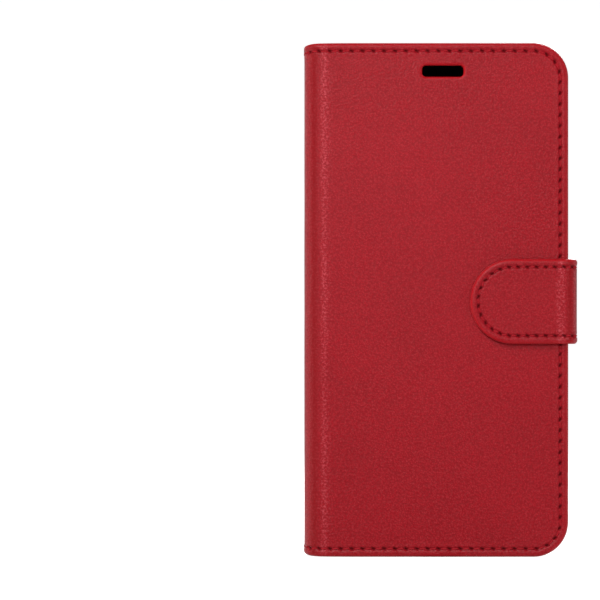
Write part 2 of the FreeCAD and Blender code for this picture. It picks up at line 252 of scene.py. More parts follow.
def hole_edge(centre, width, height, radius):
    """The edge of an opening; the way inwards, into the leather, points away from the opening."""
    (cs, cz), a, b = centre, width / 2 - radius, height / 2 - radius
    legs = []
    corners = [(a, -b, -QUARTER), (a, b, 0.0), (-a, b, QUARTER), (-a, -b, 2 * QUARTER)]
    for number, (ds, dz, first) in enumerate(corners):
        here = (cs + ds, cz + dz)
        legs.append(("arc", here, radius, first, first + QUARTER))
        end = np.array(here) + radius * np.array([math.cos(first + QUARTER), math.sin(first + QUARTER)])
        nds, ndz, nfirst = corners[(number + 1) % 4]
        start = np.array([cs + nds, cz + ndz]) + radius * np.array([math.cos(nfirst), math.sin(nfirst)])
        if np.linalg.norm(start - end) > STRAIGHT_LEAST:
            legs.append(("line", tuple(end), tuple(start)))
    edge = walk(legs, 0.0, closed=True)
    away = edge.points - np.array([cs, cz])
    side = np.sign((edge.inwards * away).sum(1))
    edge.inwards = edge.inwards * np.where(side == 0, 1, side)[:, None]
    return edge


def clockwise(edge):
    p = edge.points
    q = np.roll(p, -1, axis=0)
    return (p[:, 0] * q[:, 1] - q[:, 0] * p[:, 1]).sum() < 0


def outside_pill(p, hole):
    """How far a point lies outside an opening's edge. It is negative within the opening."""
    (cs, cz), width, height, corner = hole
    ds = max(abs(p[0] - cs) - (width / 2 - corner), 0)
    dz = max(abs(p[1] - cz) - (height / 2 - corner), 0)
    return math.hypot(ds, dz) - corner


# ---- sheets ----
LEATHER_EDGE = [            # (distance in from the edge, height), from the field to the underside
    (5.2, 0.0), (4.4, 0.0), (3.8, 0.01), (3.4, 0.03), (3.1, 0.04), (2.9, 0.02), (2.76, -0.05),
    (2.64, -0.1), (2.52, -0.14), (2.4, -0.16), (2.28, -0.14), (2.16, -0.1), (2.04, -0.04),
    (1.9, 0.02), (1.7, 0.09), (1.4, 0.14), (1.1, 0.15), (0.8, 0.1), (0.55, 0.0), (0.35, -0.15),
    (0.18, -0.36), (0.07, -0.6), (0.0, -0.95), (0.02, -1.3), (0.1, -1.65), (0.28, -1.95),
    (0.6, -2.13), (1.2, -2.2), (2.6, -2.2),
]
WINDOW_EDGE = [             # round a hole: (distance away from the hole, height)
    (1.7, 0.0), (1.2, 0.02), (0.85, 0.02), (0.6, -0.03), (0.4, -0.11), (0.22, -0.25),
    (0.08, -0.48), (0.0, -0.8), (0.0, -1.4), (0.0, -2.0), (0.06, -2.42),
]
OUTER_RIM = 1.0             # how far in from a free edge the leather is painted a brighter red: a painted highlight
OUTER_RIM_STRENGTH = 0.7
HOLE_RIM = 0.8              # and round an opening
HOLE_LONG, HOLE_WIDE = 0.68, 0.36           # half sizes of a needle hole, along its slant and across
HOLE_DEPTH = 0.45
HOLE_SLANT = 0.45           # radians from the seam
HOLE_FROM_SEAM = 0.8        # rings further than this from the seam have no needle holes


def needle_dips(run, across, pitch, length):
    """How far each point is into a needle hole, 0 to 1: slanted ovals, one each pitch."""
    count = max(1, round(length / pitch))
    true_pitch = length / count
    along = (run / true_pitch - 0.5) % 1.0
    along = np.where(along > 0.5, along - 1.0, along) * true_pitch
    c, s = math.cos(HOLE_SLANT), math.sin(HOLE_SLANT)
    a = along * c + across * s
    b = -along * s + across * c
    return np.exp(-np.abs(a / HOLE_LONG) ** 3 - np.abs(b / HOLE_WIDE) ** 3)


def ripple(flat, scale, seed):
    """Gentle unevenness, the same each run."""
    return np.array([noise.noise(Vector((p[0] / scale, p[1] / scale, seed))) for p in flat])


INSIDE_BOUNDS = 1           # delaunay_2d_cdt then keeps only the triangles inside the bounds
CLOSEST = 1e-5              # points closer than this become one


def fill(rings, grid, in_opening):
    """Triangles between the rings of the edges, cut ends and openings, through the points of the grid."""
    points, bounds = [], []
    for ring, closed in rings:
        first = len(points)
        points.extend(ring)
        bounds += [(first + i, first + i + 1) for i in range(len(ring) - 1)]
        if closed:
            bounds.append((first + len(ring) - 1, first))
    points.extend(grid)
    corners = [Vector(p) for p in points]
    co, _, faces = geometry.delaunay_2d_cdt(corners, bounds, [], INSIDE_BOUNDS, CLOSEST)[:3]
    kept = []
    for face in faces:
        a, b, c = (co[i] for i in face)
        if in_opening((a + b + c) / 3):
            continue
        if (b - a).cross(c - a) < 0:
            face = face[::-1]
        kept.append(tuple(face))
    return np.array(co), kept


class Sheet:
    """Vertices (s, z, h) and faces of a sheet. Each vertex also knows how deep it is in a needle hole,
    and how much of it is turned edge, which gets a brighter red as a painted highlight. Both go from 0 to 1."""

    def __init__(self):
        self.flat, self.faces = np.zeros((0, 3)), []
        self.dips, self.rims = np.zeros(0), np.zeros(0)
        self.edges = []

    def add(self, flat, faces, dips=None, rims=None):
        base = len(self.flat)
        self.flat = np.vstack([self.flat, flat])
        self.faces += [tuple(i + base for i in f) for f in faces]
        self.dips = np.concatenate([self.dips, np.zeros(len(flat)) if dips is None else dips])
        self.rims = np.concatenate([self.rims, np.zeros(len(flat)) if rims is None else rims])


def ring_faces(count, rings, closed):
    """Quads between rings of count points each, one after the other."""
    faces = []
    for j in range(rings - 1):
        here, after = j * count, (j + 1) * count
        for i in range(count if closed else count - 1):
            k = (i + 1) % count
            faces.append((here + i, here + k, after + k, after + i))
    return faces


def add_band(sheet, edge, profile, seam, pitch):
    """The band along a free edge: welt, groove, needle holes and the turned underside."""
    rings, dips, rims = [], [], []
    for distance, height in profile:
        ring = edge.at(distance)
        dip = np.zeros(len(ring))
        if pitch and abs(distance - seam) < HOLE_FROM_SEAM and height > profile[-1][1] / 2:
            dip = needle_dips(edge.run, np.full(len(ring), distance - seam), pitch, edge.length)
        rings.append(np.column_stack([ring, height - HOLE_DEPTH * dip]))
        dips.append(dip)
        rims.append(np.full(len(ring), OUTER_RIM_STRENGTH * max(0, 1 - distance / OUTER_RIM)))
    faces = ring_faces(len(edge.points), len(profile), edge.closed)
    sheet.add(np.vstack(rings), faces, np.concatenate(dips), np.concatenate(rims))


def add_collar(sheet, hole, profile):
    """The leather's edge round an opening, down into it. Gives back the ring where the field begins."""
    edge = hole_edge(*hole)
    count = len(edge.points)
    collar = [np.column_stack([edge.at(distance), np.full(count, height)]) for distance, height in profile]
    faces = ring_faces(count, len(profile), True)
    if clockwise(edge):
        faces = [f[::-1] for f in faces]
    rims = np.repeat([max(0, 1 - distance / HOLE_RIM) for distance, _ in profile], count)
    sheet.add(np.vstack(collar), faces, rims=rims)
    return edge.at(profile[0][0]), True


CUT_STEP = 2.5              # spacing of points along a cut end
GRID_STEP = 2.4             # spacing of the field's points up the sheet
GRID_MARGIN = 1.2           # a point of the field stays this far from the rings of edges and openings
GRID_END = 0.2              # and this far from a cut end
OPENING_SLACK = 1e-3


def cut_ring(a, b):
    """The straight line between two inner corners, at a cut end."""
    a, b = np.array(a), np.array(b)
    count = max(2, int(np.linalg.norm(b - a) / CUT_STEP))
    return [a + (b - a) * t for t in np.linspace(0, 1, count + 1)]


def crowds_edge(p, s, z, radius, left, right, inner):
    """Whether a point comes too close to the inner ring of a free end or its corners."""
    for end, free in ((s[0], left), (s[1], right)):
        if not free:
            continue
        if abs(p[0] - end) < inner + GRID_MARGIN:
            return True
        ds = radius - abs(p[0] - end)
        dz = max(z[0] + radius - p[1], p[1] - (z[1] - radius))
        if ds > 0 and dz > 0 and math.hypot(ds, dz) > radius - inner - GRID_MARGIN:
            return True
    return False


def field_grid(s, z, radius, left, right, inner, s_lines, holes, reach):
    """The points of the field, on these lines along s."""
    grid = []
    for place in s_lines:
        if not s[0] + GRID_END < place < s[1] - GRID_END:
            continue
        for up in np.arange(z[0] + inner + GRID_MARGIN, z[1] - inner - GRID_MARGIN, GRID_STEP):
            p = np.array([place, up])
            crowded = any(outside_pill(p, hole) < reach + GRID_MARGIN for hole in holes)
            if not crowded and not crowds_edge(p, s, z, radius, left, right, inner):
                grid.append(p)
    return grid


def build_sheet(s, z, radius, left, right, profile, s_lines, seam=SEAM, pitch=STITCH,
                holes=(), hole_profile=WINDOW_EDGE, level=None):
    """A whole sheet: bands along its free edges, collars round its holes, and the field between."""
    sheet = Sheet()
    sheet.edges = panel_edges(s, z, radius, left, right, seam)
    inner, reach = profile[0][0], hole_profile[0][0]
    rings = []
    for edge in sheet.edges:
        add_band(sheet, edge, profile, seam, pitch)
        rings.append((edge.at(inner), edge.closed))
    for end, free in ((s[1], right), (s[0], left)):
        if not free:
            rings.append((cut_ring((end, z[0] + inner), (end, z[1] - inner)), False))
    for hole in holes:
        rings.append(add_collar(sheet, hole, hole_profile))

    def in_opening(p):
        return any(outside_pill(p, hole) < reach - OPENING_SLACK for hole in holes)

    grid = field_grid(s, z, radius, left, right, inner, s_lines, holes, reach)
    co, faces = fill(rings, grid, in_opening)
    sheet.add(np.column_stack([co, np.full(len(co), profile[0][1])]), faces)
    if level is not None:
        sheet.flat[:, 2] += level(sheet.flat)
    return sheet


# ---- meshes ----
def make_object(name, sheet, place, material, flip=False, painted_light=None):
    """A mesh object from a sheet: rings that meet are welded, and the flat place is kept for the grain."""
    mesh = bpy.data.meshes.new(name)
    faces = [f[::-1] for f in sheet.faces] if flip else sheet.faces
    mesh.from_pydata((place(sheet.flat) * MM).tolist(), [], faces)
    grain = mesh.attributes.new("flat", "FLOAT_VECTOR", "POINT")
    grain.data.foreach_set("vector", sheet.flat.astype(np.float32).ravel())
    # painted light for each vertex: painted highlight above 0, painted shade below 0
    tones = painted_light(sheet.flat) if painted_light else np.zeros(len(sheet.flat))
    for key, values in (("dip", sheet.dips), ("rim_highlight", sheet.rims), ("painted_light", tones)):
        layer = mesh.attributes.new(key, "FLOAT", "POINT")
        layer.data.foreach_set("value", values.astype(np.float32))
    weld(mesh)
    mesh.polygons.foreach_set("use_smooth", np.ones(len(mesh.polygons), bool))
    mesh.materials.append(material)
    piece = bpy.data.objects.new(name, mesh)
    bpy.context.scene.collection.objects.link(piece)
    return piece


WELD = 0.002 * MM


def weld(mesh):
    """Points of neighbouring rings that lie on each other become one."""
    bm = bmesh.new()
    bm.from_mesh(mesh)
    bmesh.ops.remove_doubles(bm, verts=bm.verts, dist=WELD)
    bm.to_mesh(mesh)
    bm.free()


CREASE_VALLEY = 1.1         # from the middle of the crease to the bottom of its valley
UNDERSIDE = -1.2            # a point of the covers below this is turned under
STRAP_UNDERSIDE = -1.0      # and of the strap


def bumps(s, *rows):
    """Smooth bumps along s, added up: (height, middle, half width) each."""
    return sum(height * np.exp(-((s - middle) / width) ** 2) for height, middle, width in rows)


def fold_in(flat):
    """The spine and the crease stand a little shorter than the covers: the sheet draws in towards them."""
    away = np.maximum(np.maximum(S_SPINE - flat[:, 0], flat[:, 0] - S_FRONT_FOLD), 0)
    drop = SPINE_DROP * bumps(away, (0.35, 0.0, 8.0), (0.65, 0.0, 3.2))
    drop = drop + bumps(flat[:, 0], (CREASE_DROP, S_CREASE + CREASE_VALLEY, 1.9))
    middle = HEIGHT / 2
    moved = flat.copy()
    moved[:, 1] = middle + (flat[:, 1] - middle) * (1 - drop / middle)
    return moved


def place_covers(flat):
    return covers.place(fold_in(flat))


def cover_level(flat):
    """The stand crease, pressed into the back panel, and the unevenness of leather over board."""
    crease = bumps(flat[:, 0], (0.16, S_CREASE - 2.0, 1.7), (-0.85, S_CREASE + CREASE_VALLEY, 1.05))
    uneven = 0.03 * ripple(flat, 16.0, 3.0) + 0.006 * ripple(flat, 5.0, 7.0)
    return np.where(flat[:, 2] > UNDERSIDE, crease + uneven, 0.0)


def cover_painted_light(flat):
    """Painted highlight beside the folds and the crease (above 0): paler grain; painted shade in them (below
    0): a deeper red.
    """
    s = flat[:, 0]
    painted_highlight = bumps(s, (1.0, S_FRONT + 0.8, 1.2), (0.65, S_BACK_FOLD - 4.6, 5.2), (0.7, S_CREASE - 1.7, 1.9))
    painted_shade = bumps(s, (1.0, S_FRONT - 2.2, 1.5), (1.0, S_BACK_FOLD + 2.2, 1.5), (1.0, S_CREASE + 1.5, 1.2))
    uneven = 0.8 + 0.7 * ripple(flat, 22.0, 17.0)
    return (painted_highlight * uneven - painted_shade) * (flat[:, 2] > UNDERSIDE)


def strap_painted_light(flat):
    """The same painted highlight beside and painted shade in the folds of the strap."""
    s = flat[:, 0]
    painted_highlight = bumps(s, (1.0, S_STRAP_FRONT - 1.8, 1.3), (0.8, S_STRAP_FRONT + 2.8, 1.0),
                 (0.8, S_STRAP_BACK + 1.4, 1.2))
    painted_shade = bumps(s, (1.0, S_STRAP_FRONT + 0.4, 0.9), (1.0, S_STRAP_BACK + 3.8, 0.9))
    return (painted_highlight - painted_shade) * (flat[:, 2] > STRAP_UNDERSIDE)


# ---- stitches ----
THREAD_RING, THREAD_STEPS = 10, 12          # points round a stitch, and lengths along it
THREAD_TWIST = 5.5                          # radians that the strands turn along a stitch


def stitch_line(edge, seam_line, k, true_pitch, t):
    """The middle of stitch k and the way inwards, at parts t of its length."""
    run = (k + 0.5) * true_pitch + HOLE_REACH + (true_pitch - 2 * HOLE_REACH) * t
    if edge.closed:
        run = run % edge.length
    centre = np.column_stack([np.interp(run, edge.run, seam_line[:, i]) for i in (0, 1)])
    inwards = np.column_stack([np.interp(run, edge.run, edge.inwards[:, i]) for i in (0, 1)])
    return centre, inwards


def build_stitches(edge, seam, pitch, level, side=1, radius=THREAD_R):
    """Every stitch of one edge as a short length of twisted thread, dipping into a hole at each end."""
    count = max(1, round(edge.length / pitch))
    true_pitch = edge.length / count
    seam_line = edge.at(seam)
    sheet = Sheet()
    theta = np.linspace(0, 2 * math.pi, THREAD_RING, endpoint=False)
    t = np.linspace(0, 1, THREAD_STEPS + 1)
    bow = np.abs(2 * t - 1)
    thick = radius * (1 - 0.3 * bow ** 6)
    for k in range(-1 if edge.closed else 0, count - 1):
        centre, inwards = stitch_line(edge, seam_line, k, true_pitch, t)
        across = 0.12 * (1 - 2 * t) + 0.03 * math.sin(k * 2.4)
        height = level + side * (radius * 0.55 + 0.02 * math.sin(k * 1.7) - 0.75 * bow ** 5)
        verts = []
        for i in range(THREAD_STEPS + 1):
            turn = 2 * (theta - THREAD_TWIST * t[i] * side)
            r = thick[i] * (1 + 0.13 * np.cos(turn))
            offset = across[i] + r * np.cos(theta)
            point = centre[i] + np.outer(offset, inwards[i])
            verts.append(np.column_stack([point, height[i] + r * np.sin(theta)]))
        faces = ring_faces(THREAD_RING, THREAD_STEPS + 1, True)
        last = THREAD_STEPS * THREAD_RING
        faces.append(tuple(range(THREAD_RING)))
        faces.append(tuple(range(last, last + THREAD_RING))[::-1])
        sheet.add(np.vstack(verts), [f[::-1] for f in faces])
    return sheet


# ---- materials ----
def new_material(name):
    material = bpy.data.materials.new(name)
    material.use_nodes = True
    nodes = material.node_tree.nodes
    return material, nodes, material.node_tree.links, nodes["Principled BSDF"]


def add_node(nodes, kind, **inputs):
    node = nodes.new(kind)
    for key, value in inputs.items():
        if key in node.inputs:
            node.inputs[key].default_value = value
        else:
            setattr(node, key, value)
    return node


def ramp(nodes, stops):
    node = nodes.new("ShaderNodeValToRGB")
    for number, (position, colour) in enumerate(stops):
        element = node.color_ramp.elements[number] if number < 2 else node.color_ramp.elements.new(position)
        element.position = position
        element.color = (*colour, 1)
    return node


def laid_over(nodes, links, below, factor, colour):
    """A colour laid over another by a factor."""
    mix = add_node(nodes, "ShaderNodeMix", data_type="RGBA")
    mix.inputs[7].default_value = (*colour, 1)
    links.new(below, mix.inputs[6])
    links.new(factor, mix.inputs[0])
    return mix.outputs[2]


def noise_at(nodes, links, place, scale, detail, roughness):
    texture = add_node(nodes, "ShaderNodeTexNoise", Scale=scale, Detail=detail, Roughness=roughness)
    links.new(place.outputs["Vector"], texture.inputs["Vector"])
    return texture


def grain_height(nodes, links, place, grain):
    """Pebbles of grain, slightly warped, with finer noise on them. High values are the valleys."""
    warp = noise_at(nodes, links, place, 1.1, 2.0, 0.5)
    mix = add_node(nodes, "ShaderNodeMix", data_type="VECTOR")
    mix.inputs[0].default_value = 0.25
    links.new(place.outputs["Vector"], mix.inputs[4])
    links.new(warp.outputs["Color"], mix.inputs[5])
    cells = add_node(nodes, "ShaderNodeTexVoronoi", Scale=grain, feature="SMOOTH_F1")
    cells.inputs["Smoothness"].default_value = 0.35
    cells.inputs["Randomness"].default_value = 1.0
    links.new(mix.outputs[1], cells.inputs["Vector"])
    fine = noise_at(nodes, links, place, grain * 3.1, 4.0, 0.62)
    height = add_node(nodes, "ShaderNodeMath", operation="MULTIPLY_ADD")
    height.inputs[1].default_value = 0.6
    links.new(fine.outputs["Fac"], height.inputs[0])
    links.new(cells.outputs["Distance"], height.inputs[2])
    return height.outputs[0]


# near-black red laid into the needle holes: painted shade
NEEDLE_HOLE_SHADE = (0.085, 0.0008, 0.0025)


def leather_colour(nodes, links, place, height, dark, mid, light):
    """Grain with darker valleys and slow drift; painted shade in folds and needle holes; painted glints;
    painted rim highlights.
    """
    colours = ramp(nodes, [(0.35, light), (0.62, mid), (0.95, dark)])
    links.new(height, colours.inputs["Fac"])
    drift = noise_at(nodes, links, place, 0.045, 3.0, 0.55)
    slow = ramp(nodes, [(0.35, (0.93, 0.92, 0.92)), (0.65, (1.0, 1.0, 1.0))])
    links.new(drift.outputs["Fac"], slow.inputs["Fac"])
    shade = add_node(nodes, "ShaderNodeMix", data_type="RGBA", blend_type="MULTIPLY")
    shade.inputs[0].default_value = 1.0
    links.new(colours.outputs["Color"], shade.inputs[6])
    links.new(slow.outputs["Color"], shade.inputs[7])

    # the painted light of each vertex: painted highlight above 0, painted shade below 0
    painted_light = add_node(nodes, "ShaderNodeAttribute", attribute_name="painted_light")
    painted_shade = add_node(nodes, "ShaderNodeMapRange")
    for key, value in (("From Min", 0.0), ("From Max", -1.0), ("To Max", 0.75)):
        painted_shade.inputs[key].default_value = value
    links.new(painted_light.outputs["Fac"], painted_shade.inputs["Value"])

    # pale pink specks: painted glints of the grain, a little everywhere and more in the painted highlight
    # bands
    sparse = noise_at(nodes, links, place, 1.5, 5.0, 0.75)
    specks = ramp(nodes, [(0.49, (0.05, 0.05, 0.05)), (0.6, (1.0, 1.0, 1.0))])
    links.new(sparse.outputs["Fac"], specks.inputs["Fac"])
    everywhere = add_node(nodes, "ShaderNodeMath", operation="MAXIMUM")
    everywhere.inputs[1].default_value = 0.15
    links.new(painted_light.outputs["Fac"], everywhere.inputs[0])
    painted_glints = add_node(nodes, "ShaderNodeMath", operation="MULTIPLY", use_clamp=True)
    links.new(everywhere.outputs[0], painted_glints.inputs[0])
    links.new(specks.outputs["Color"], painted_glints.inputs[1])

    rim_highlight = add_node(nodes, "ShaderNodeAttribute", attribute_name="rim_highlight")
    dip = add_node(nodes, "ShaderNodeAttribute", attribute_name="dip")
    # a deeper red in the folds and the crease valley: painted shade
    painted_fold_shade = (dark[0] * 0.8, dark[1] * 0.25, dark[2] * 0.3)
    # the pale pink of the painted glints
    painted_glint_pink = (light[0] * 1.35, light[1] * 6.0, light[2] * 4.6)
    # a brighter red at the turned edges and round openings: a painted highlight
    painted_rim_highlight = (light[0] * 1.2, light[1] * 0.5, light[2] * 0.55)
    colour = laid_over(nodes, links, shade.outputs[2], painted_shade.outputs[0], painted_fold_shade)
    colour = laid_over(nodes, links, colour, painted_glints.outputs[0], painted_glint_pink)
    colour = laid_over(nodes, links, colour, rim_highlight.outputs["Fac"], painted_rim_highlight)
    return laid_over(nodes, links, colour, dip.outputs["Fac"], NEEDLE_HOLE_SHADE)


def leather_material(name, dark, mid, light, grain, roughness, sheen, bump):
    """Pebbled leather. Its textures lie on the flat sheet, so they bend with it."""
    material, nodes, links, shader = new_material(name)
    place = add_node(nodes, "ShaderNodeAttribute", attribute_name="flat")
    height = grain_height(nodes, links, place, grain)
    relief = add_node(nodes, "ShaderNodeBump", Strength=bump[0], Distance=bump[1], invert=True)
    links.new(height, relief.inputs["Height"])
    links.new(relief.outputs["Normal"], shader.inputs["Normal"])
    colour = leather_colour(nodes, links, place, height, dark, mid, light)
    links.new(colour, shader.inputs["Base Color"])

    rough = add_node(nodes, "ShaderNodeMapRange")
    rough.inputs["To Min"].default_value = roughness[0]
    rough.inputs["To Max"].default_value = roughness[1]
    links.new(height, rough.inputs["Value"])
    dip = add_node(nodes, "ShaderNodeAttribute", attribute_name="dip")
    rougher = add_node(nodes, "ShaderNodeMath", operation="MAXIMUM")
    links.new(rough.outputs[0], rougher.inputs[0])
    links.new(dip.outputs["Fac"], rougher.inputs[1])
    links.new(rougher.outputs[0], shader.inputs["Roughness"])
    shader.inputs["Specular IOR Level"].default_value = 0.14
    shader.inputs["Sheen Weight"].default_value = sheen
    shader.inputs["Sheen Roughness"].default_value = 0.35
    shader.inputs["Sheen Tint"].default_value = (1.0, 0.82, 0.84, 1)
    return material


def thread_material():
    material, nodes, links, shader = new_material("thread")
    place = add_node(nodes, "ShaderNodeAttribute", attribute_name="flat")
    strands = noise_at(nodes, links, place, 9.0, 3.0, 0.6)
    colours = ramp(nodes, [(0.3, (0.25, 0.005, 0.010)), (0.7, (0.36, 0.012, 0.020))])
    links.new(strands.outputs["Fac"], colours.inputs["Fac"])
    links.new(colours.outputs["Color"], shader.inputs["Base Color"])
    relief = add_node(nodes, "ShaderNodeBump", Strength=0.5, Distance=0.00008)
    links.new(strands.outputs["Fac"], relief.inputs["Height"])
    links.new(relief.outputs["Normal"], shader.inputs["Normal"])
    shader.inputs["Roughness"].default_value = 0.7
    shader.inputs["Specular IOR Level"].default_value = 0.1
    return material


def plain_material(name, low, high, scale, roughness, metallic=0.0, gloss=0.3, bump=0.2):
    """Moulded polymer, board, glue or plated metal: one colour with fine mottling."""
    material, nodes, links, shader = new_material(name)
    place = add_node(nodes, "ShaderNodeTexCoord")
    mottle = add_node(nodes, "ShaderNodeTexNoise", Scale=scale, Detail=5.0, Roughness=0.6)
    links.new(place.outputs["Object"], mottle.inputs["Vector"])
    colours = ramp(nodes, [(0.35, low), (0.65, high)])
    links.new(mottle.outputs["Fac"], colours.inputs["Fac"])
    links.new(colours.outputs["Color"], shader.inputs["Base Color"])
    rough = add_node(nodes, "ShaderNodeMapRange")
    rough.inputs["To Min"].default_value = roughness[0]
    rough.inputs["To Max"].default_value = roughness[1]
    links.new(mottle.outputs["Fac"], rough.inputs["Value"])
    links.new(rough.outputs[0], shader.inputs["Roughness"])
    relief = add_node(nodes, "ShaderNodeBump", Strength=bump, Distance=0.00005)
    links.new(mottle.outputs["Fac"], relief.inputs["Height"])
    links.new(relief.outputs["Normal"], shader.inputs["Normal"])
    shader.inputs["Metallic"].default_value = metallic
    shader.inputs["Specular IOR Level"].default_value = gloss
    return material


cover_leather = leather_material(
    "cover_leather", dark=(0.215, 0.001, 0.005), mid=(0.275, 0.0018, 0.0072), light=(0.335, 0.009, 0.015),
    grain=2.6, roughness=(0.24, 0.38), sheen=0.0, bump=(0.55, 0.00014),
)
lining_leather = leather_material(
    "lining_leather", dark=(0.18, 0.0055, 0.0115), mid=(0.23, 0.0075, 0.015), light=(0.27, 0.011, 0.02),
    grain=2.6, roughness=(0.55, 0.75), sheen=0.04, bump=(0.5, 0.00006),
)
thread = thread_material()
tray_polymer = plain_material("tray_polymer", (0.002, 0.003, 0.003), (0.004, 0.005, 0.005), scale=900.0,
                              roughness=(0.5, 0.7), gloss=0.1)
board_fibre = plain_material("board_fibre", (0.30, 0.24, 0.17), (0.42, 0.35, 0.26), scale=1500.0,
                             roughness=(0.85, 0.95))
glue_film = plain_material("glue_film", (0.62, 0.58, 0.46), (0.72, 0.68, 0.56), scale=700.0,
                           roughness=(0.3, 0.5))
magnet_plating = plain_material("magnet_plating", (0.50, 0.50, 0.52), (0.62, 0.62, 0.64), scale=2500.0,
                                roughness=(0.22, 0.4), metallic=1.0, gloss=0.5)


# ---- the covers ----
def lines(*stretches):
    """Places along s: (from, to, spacing) for each stretch."""
    return np.concatenate([np.arange(a, b, step) for a, b, step in stretches])


COVER_LINES = lines(
    (2.4, S_CREASE - 5, 2.4), (S_CREASE - 5, S_CREASE + 5, 0.5), (S_CREASE + 5, S_BACK_FOLD - 2, 2.4),
    (S_BACK_FOLD - 2, S_SPINE, 0.5), (S_SPINE, S_FRONT_FOLD, 0.9), (S_FRONT_FOLD, S_FRONT + 2, 0.5),
    (S_FRONT + 2, S_END, 2.4),
)
CAMERA_X, CAMERA_Z = 21.5, 131.3            # camera window: leather laps 0.1 mm over the board's edge
CAMERA_WIDTH, CAMERA_HEIGHT = 14.9, 28.2
EAR_X, EAR_Z = 0.65, 143.7                  # earpiece slot, lapped in the same way
EAR_WIDTH, EAR_HEIGHT = 12.2, 3.35
WINDOW = ((back_high[0] - CAMERA_X, CAMERA_Z), CAMERA_WIDTH, CAMERA_HEIGHT, CAMERA_WIDTH / 2 - 0.01)
EAR_SLOT = ((S_FRONT + EAR_X - FOLD_X, EAR_Z), EAR_WIDTH, EAR_HEIGHT, 1.15)

cover_pieces = [
    # name, s range, free left, free right, holes, bodies, weight start, weight end
    ("camera_side", (0.0, S_BACK_SPLIT), True, False, [WINDOW], "phone_side", "back_flap",
     (crease_high[0], back_high[1]), (crease_low[0], back_high[1])),
    ("back_fold", (S_BACK_SPLIT, S_SPINE_SPLIT), False, False, [], "back_flap", "spine",
     (FOLD_X, back_high[1]), (spine_low[0], spine_high[1])),
    ("front_cover", (S_SPINE_SPLIT, S_END), False, True, [EAR_SLOT], "spine", "front_cover",
     (spine_low[0], spine_low[1]), (FOLD_X, front_low[1])),
]
LEATHER_STANDS_FOR = {
    "camera_side": ("back_leather_camera_side", "crease_leather"),
    "back_fold": ("back_leather_spine_side", "back_fold_leather"),
    "front_cover": ("front_leather", "front_fold_leather", "spine_leather"),
}
LINING_STANDS_FOR = {
    "camera_side": ("back_lining_camera_side", "crease_lining"),
    "back_fold": ("back_lining_spine_side", "back_fold_lining", "spine_lining"),
    "front_cover": ("front_lining", "front_fold_lining"),
}
THREAD_STANDS_FOR = {
    "camera_side": ("back_thread_camera_side",),
    "back_fold": ("back_thread_spine_side",),
    "front_cover": ("front_thread",),
}
LINING_INSET = 1.3
LINING_LEVEL = -PANEL - 0.24
LINING_PROFILE = [          # (distance in from the edge, height above the lining's level)
    (4.2, 0.0), (2.2, 0.0), (1.55, 0.0), (1.35, 0.03), (1.22, 0.09), (1.1, 0.12), (0.98, 0.09),
    (0.85, 0.02), (0.6, -0.02), (0.3, 0.0), (0.1, 0.04), (0.02, 0.1), (0.0, 0.18), (0.0, 0.3),
]
LINING_EDGE = [(distance, LINING_LEVEL + height) for distance, height in LINING_PROFILE]
LINING_WINDOW_PROFILE = [(1.5, 0.0), (0.5, 0.0), (0.2, 0.03), (0.05, 0.1), (0.0, 0.26)]
LINING_WINDOW_EDGE = [(distance, LINING_LEVEL + height) for distance, height in LINING_WINDOW_PROFILE]
LINING_WINDOW_GAP = 0.1     # how much larger an opening is in the lining than in the leather
THREAD_LEVEL = -0.2         # middle of the stitches, from the leather's face
LINING_THREAD_RISE = 0.1    # and of the inner stitches, from the lining's level


def stitches_along(edges, *seam, **thread_shape):
    """The stitches of several edges as one sheet."""
    whole = Sheet()
    for edge in edges:
        part = build_stitches(edge, *seam, **thread_shape)
        whole.add(part.flat, part.faces)
    return whole


def finish_piece(piece, bodies, start, end, slot, nodes):
    """The piece's place is baked into its mesh, and the CAD nodes that it stands for are hidden."""
    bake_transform(piece)
    if nodes:
        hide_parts(*nodes)


for name, span, left, right, holes, body_a, body_b, start, end in cover_pieces:
    ride = ((body_a, body_b), start, end)
    leather = build_sheet(span, (0.0, HEIGHT), CORNER_R, left, right, LEATHER_EDGE, COVER_LINES,
                          holes=holes, level=cover_level)
    leather_piece = make_object(f"{name}_leather_sheet", leather, place_covers, cover_leather,
                                painted_light=cover_painted_light)
    finish_piece(leather_piece, *ride, "cover_leather", LEATHER_STANDS_FOR[name])

    inset = (span[0] + left * LINING_INSET, span[1] - right * LINING_INSET)
    larger = [(centre, width + LINING_WINDOW_GAP, height + LINING_WINDOW_GAP, corner + LINING_WINDOW_GAP / 2)
              for centre, width, height, corner in holes]
    lining = build_sheet(inset, (LINING_INSET, HEIGHT - LINING_INSET), CORNER_R - LINING_INSET, left, right,
                         LINING_EDGE, COVER_LINES, seam=SEAM - LINING_INSET, pitch=0, holes=larger,
                         hole_profile=LINING_WINDOW_EDGE)
    lining_piece = make_object(f"{name}_lining_sheet", lining, place_covers, lining_leather, flip=True)
    finish_piece(lining_piece, *ride, "lining", LINING_STANDS_FOR[name])

    outer = stitches_along(leather.edges, SEAM, STITCH, THREAD_LEVEL)
    outer_piece = make_object(f"{name}_stitches", outer, place_covers, thread)
    finish_piece(outer_piece, *ride, "thread", THREAD_STANDS_FOR[name])
    inner = stitches_along(leather.edges, SEAM, STITCH, LINING_LEVEL + LINING_THREAD_RISE, side=-1)
    inner_piece = make_object(f"{name}_inner_stitches", inner, place_covers, thread)
    finish_piece(inner_piece, *ride, "thread", ())


